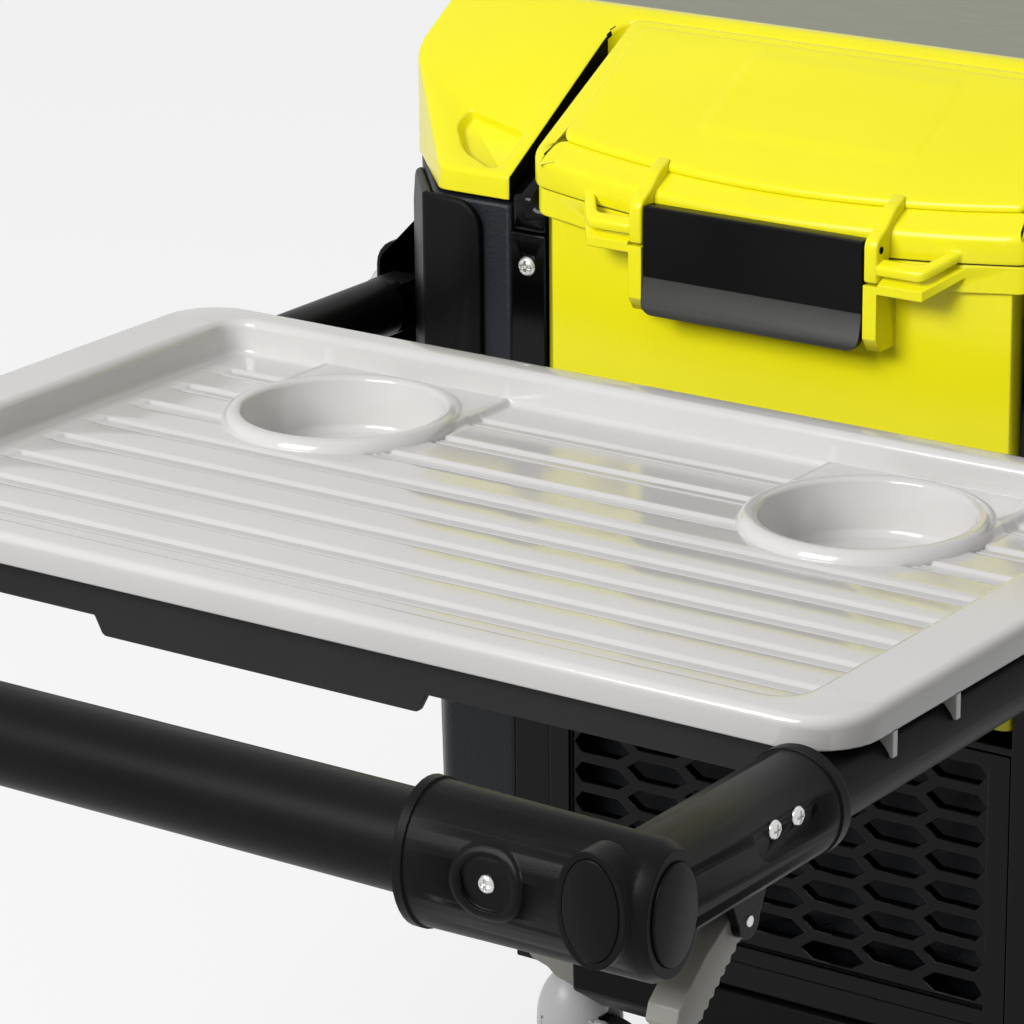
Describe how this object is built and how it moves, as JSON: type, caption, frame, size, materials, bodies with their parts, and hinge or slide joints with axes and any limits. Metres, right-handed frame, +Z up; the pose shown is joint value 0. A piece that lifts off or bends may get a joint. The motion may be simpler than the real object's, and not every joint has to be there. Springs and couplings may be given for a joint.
{
  "type": "wheeled cooler",
  "caption": "Wheeled insulated cooler with a hinged lid and worktop, a lift-out latched front bin, and a folding pull handle carrying a lift-off serving tray with cup holders.",
  "frame": {"origin": "centre of the bounding box's footprint, on the ground", "axes": "+Z up, +Y from the pull handle's crossbar to the chest's hinged rear, +X to the right for someone who faces the handle from the front"},
  "size_m": [0.547, 1.1708, 0.5365],
  "materials": {
    "lime_plastic": "semi-gloss moulded",
    "navy_plastic": "hammered texture",
    "black_plastic": "fine matt texture",
    "gloss_black": "high gloss",
    "black_tube": "matt black powder coat",
    "tray_plastic": "glossy light grey",
    "lever_plastic": "matt grey",
    "deck_metal": "fine brushed",
    "steel": "polished screw heads",
    "white_plastic": "smooth",
    "foam": "closed-cell foam",
    "rubber": "matt",
    "pale_plastic": "smooth light grey"
  },
  "bodies": {
    "chest": {"chest_shell": "navy_plastic", "insulation": "foam", "ice_liner": "white_plastic", "bin_bay": "gloss_black", "bay_rails": "gloss_black", "post_screws": "steel", "grille": "gloss_black", "front_bumper": "black_plastic", "skid_band": "lever_plastic", "base_frame": "black_plastic", "bracket_left": "black_plastic", "bracket_right": "black_plastic", "bracket_screws": "steel", "pivot_bolts": "steel", "hinge_lugs": "navy_plastic", "hinge_pins": "steel", "drain_spout": "black_plastic", "rear_axle": "steel", "axle_nuts": "steel", "caster_stems": "steel"},
    "lid": {"main_lid": "lime_plastic", "worktop": "deck_metal", "lid_liner": "white_plastic", "lid_gasket": "rubber"},
    "front_bin": {"bin": "lime_plastic", "bin_hinge_pins": "steel"},
    "front_bin_lid": {"bin_lid": "lime_plastic", "bin_gasket": "rubber", "latch_pins": "steel"},
    "latch": {"bin_latch": "black_plastic"},
    "handle": {"crossbar": "black_tube", "side_tube_left": "black_tube", "side_tube_right": "black_tube", "corner_left": "black_plastic", "corner_right": "black_plastic", "end_caps": "black_plastic", "corner_covers": "black_plastic", "corner_screws": "steel", "sleeve_screws": "steel", "tube_eye_left": "black_plastic", "tube_eye_right": "black_plastic", "support_plate": "black_tube", "plate_screws": "steel", "trigger_pins": "steel"},
    "left_trigger": {"trigger_left": "lever_plastic"},
    "right_trigger": {"trigger_right": "lever_plastic"},
    "serving_tray": {"tray": "tray_plastic"},
    "drain_plug": {"drain_cap": "black_plastic"},
    "left_caster": {"caster_fork_left": "pale_plastic", "caster_axle_left": "steel"},
    "right_caster": {"caster_fork_right": "pale_plastic", "caster_axle_right": "steel"},
    "left_caster_wheel": {"caster_wheel_left": "rubber"},
    "right_caster_wheel": {"caster_wheel_right": "rubber"},
    "left_wheel": {"rear_tyre_left": "rubber", "rear_hub_left": "black_plastic"},
    "right_wheel": {"rear_tyre_right": "rubber", "rear_hub_right": "black_plastic"}
  },
  "joints": [
    {"name": "lid_hinge", "type": "hinge", "parent": "chest", "child": "lid", "pos_m": [0, 0.5764, 0.468], "axis": [-1, 0, 0], "range_deg": [0, 95]},
    {"name": "bin_lift", "type": "slide", "parent": "chest", "child": "front_bin", "axis": [0, 0, 1], "range_m": [0, 0.26]},
    {"name": "bin_lid_hinge", "type": "hinge", "parent": "front_bin", "child": "front_bin_lid", "pos_m": [0, 0.0069, 0.527], "axis": [-1, 0, 0], "range_deg": [0, 95]},
    {"name": "latch_hinge", "type": "hinge", "parent": "front_bin_lid", "child": "latch", "pos_m": [0, -0.0916, 0.4754], "axis": [-1, 0, 0], "range_deg": [0, 75]},
    {"name": "handle_fold", "type": "hinge", "parent": "chest", "child": "handle", "pos_m": [0, 0.0014, 0.3871], "axis": [-1, 0, 0], "range_deg": [-36, 20]},
    {"name": "left_trigger_pull", "type": "hinge", "parent": "handle", "child": "left_trigger", "pos_m": [-0.2487, -0.5066, 0.3611], "axis": [-1, 0, 0], "range_deg": [0, 15], "stiffness_Nm_per_rad": 0.1, "springref_deg": -17.19},
    {"name": "right_trigger_pull", "type": "hinge", "parent": "handle", "child": "right_trigger", "pos_m": [0.2487, -0.5066, 0.3611], "axis": [-1, 0, 0], "range_deg": [0, 15], "stiffness_Nm_per_rad": 0.1, "springref_deg": -17.19},
    {"name": "tray_lift", "type": "slide", "parent": "handle", "child": "serving_tray", "axis": [0, 0, 1], "range_m": [0, 0.08]},
    {"name": "drain_turn", "type": "hinge", "parent": "chest", "child": "drain_plug", "pos_m": [0, 0.5784, 0.162], "axis": [0, -1, 0], "range_deg": [0, 90]},
    {"name": "left_caster_swivel", "type": "hinge", "parent": "chest", "child": "left_caster", "pos_m": [-0.133, -0.0396, 0.07], "axis": [0, 0, 1], "continuous": true},
    {"name": "right_caster_swivel", "type": "hinge", "parent": "chest", "child": "right_caster", "pos_m": [0.133, -0.0396, 0.07], "axis": [0, 0, 1], "continuous": true},
    {"name": "left_caster_spin", "type": "hinge", "parent": "left_caster", "child": "left_caster_wheel", "pos_m": [-0.11984, -0.03481, 0.025], "axis": [0.342, -0.9397, 0], "continuous": true},
    {"name": "right_caster_spin", "type": "hinge", "parent": "right_caster", "child": "right_caster_wheel", "pos_m": [0.14616, -0.03481, 0.025], "axis": [0.342, -0.9397, 0], "continuous": true},
    {"name": "left_wheel_spin", "type": "hinge", "parent": "chest", "child": "left_wheel", "pos_m": [-0.205, 0.4814, 0.065], "axis": [1, 0, 0], "continuous": true},
    {"name": "right_wheel_spin", "type": "hinge", "parent": "chest", "child": "right_wheel", "pos_m": [0.205, 0.4814, 0.065], "axis": [1, 0, 0], "continuous": true}
  ]
}
